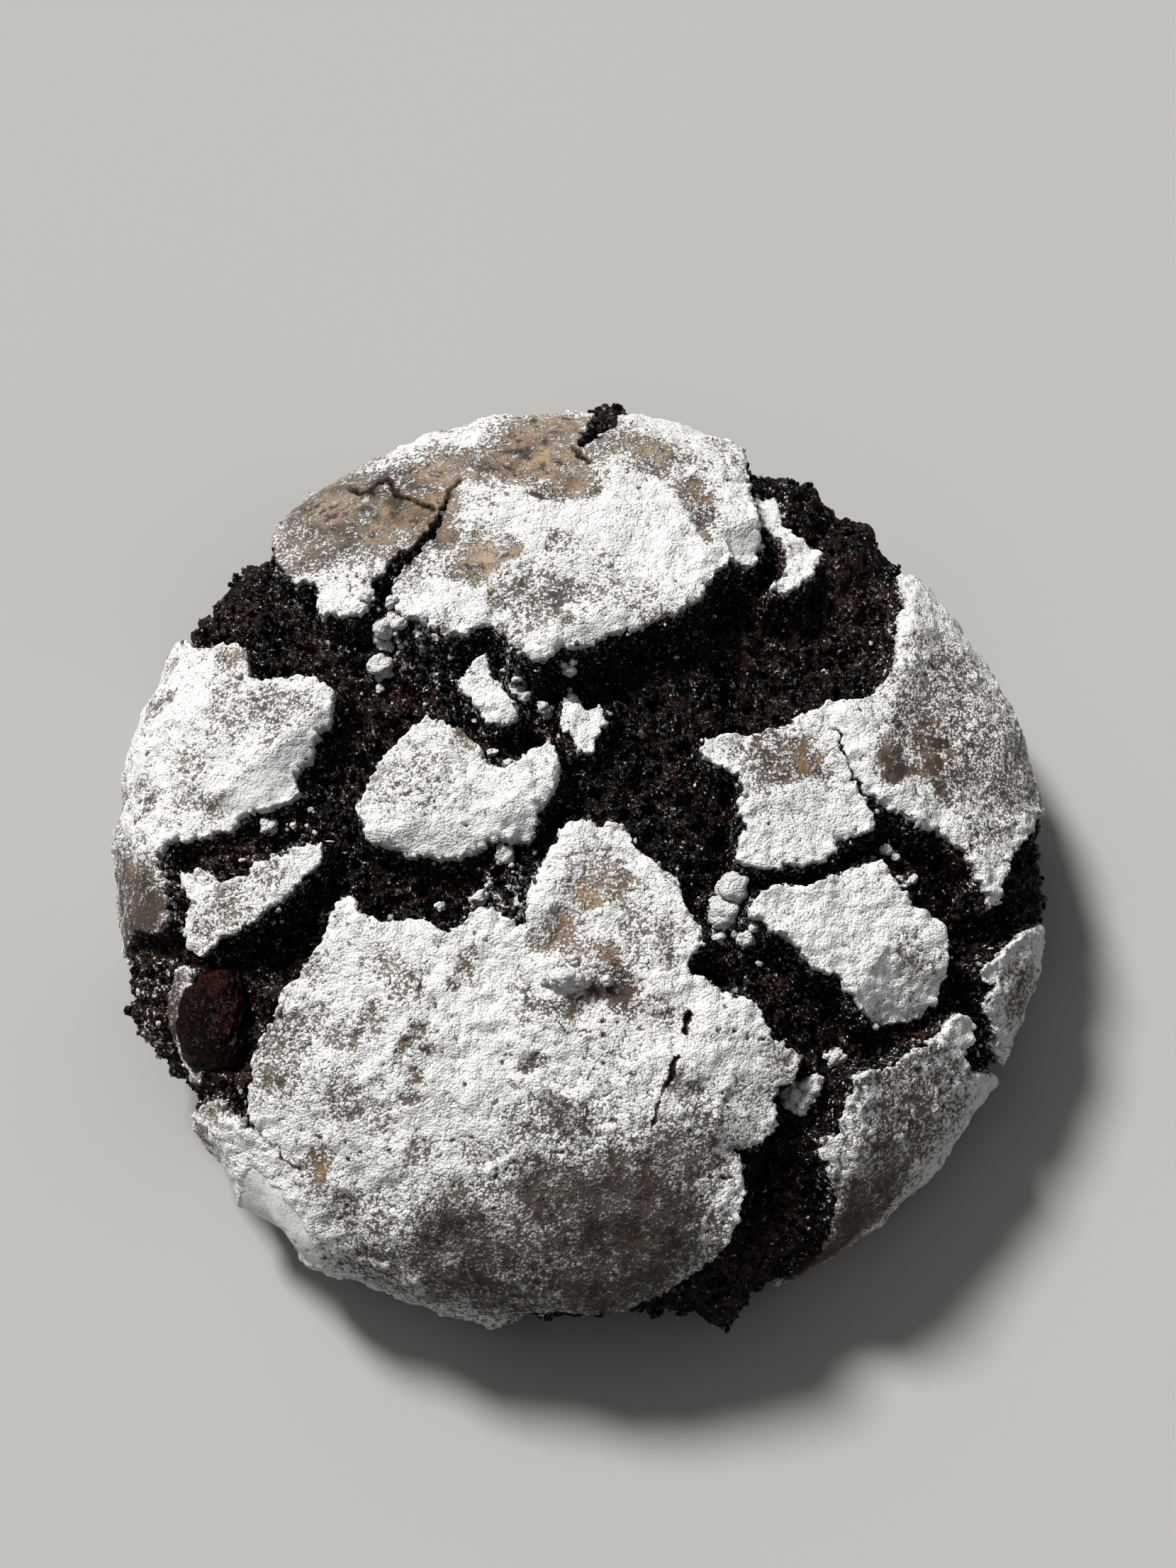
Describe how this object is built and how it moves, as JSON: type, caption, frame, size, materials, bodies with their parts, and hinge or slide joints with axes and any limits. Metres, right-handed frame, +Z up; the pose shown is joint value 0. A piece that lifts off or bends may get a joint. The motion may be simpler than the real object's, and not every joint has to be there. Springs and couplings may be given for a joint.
{
  "type": "chocolate crinkle cookie",
  "caption": "Thick domed chocolate crinkle cookie: sugared crust split into raised plates over dark crumb, with a chocolate chip set in its edge.",
  "frame": {"origin": "middle of the cookie's footprint, on the plane of its flat base", "axes": "+Z up through the dome; +Y towards the large crown plate, so the chocolate chip lies towards -X, -Y"},
  "size_m": [0.0809, 0.0836, 0.0235],
  "materials": {
    "sugared_crust": "matte, powdery icing sugar over brown crust, dark crumb in the cracks",
    "chocolate": "satin, slightly bloomed"
  },
  "bodies": {
    "root": {"cookie": "sugared_crust", "chocolate_chip": "chocolate"}
  },
  "joints": []
}
